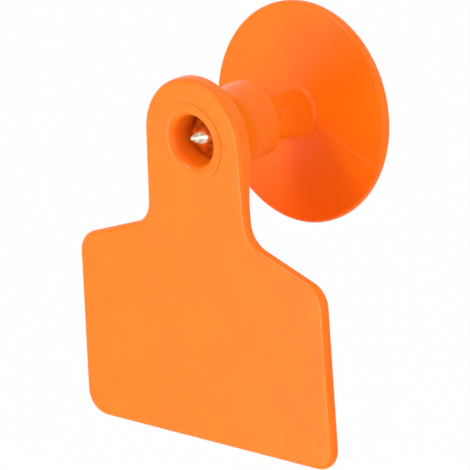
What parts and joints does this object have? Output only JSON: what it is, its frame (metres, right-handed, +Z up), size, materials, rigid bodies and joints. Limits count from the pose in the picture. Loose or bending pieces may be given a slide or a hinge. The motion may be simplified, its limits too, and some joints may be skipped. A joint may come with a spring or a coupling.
{
  "type": "livestock ear tag",
  "caption": "Two-piece soft plastic ear tag: blank flag with a flared locking collar, and a round button whose hollow metal-pointed stem passes through the ear.",
  "frame": {"origin": "on the stem's axis, in the plane of the button's rim that faces the ear", "axes": "+Y along the stem from the metal point to the back of the button, +Z up with the flag hanging down, X across the flag"},
  "size_m": [0.0436, 0.023, 0.0562],
  "materials": {
    "flag_plastic": "satin moulded polyurethane, bright orange",
    "button_plastic": "satin moulded polyurethane, bright orange",
    "tip_metal": "polished nickel plate"
  },
  "bodies": {
    "button": {"male_button": "button_plastic", "metal_tip": "tip_metal"},
    "flag": {"tag_panel": "flag_plastic"}
  },
  "joints": [
    {"name": "tag_swivel", "type": "hinge", "parent": "button", "child": "flag", "pos_m": [0, -0.0168, 0], "axis": [0, 1, 0], "continuous": true}
  ]
}
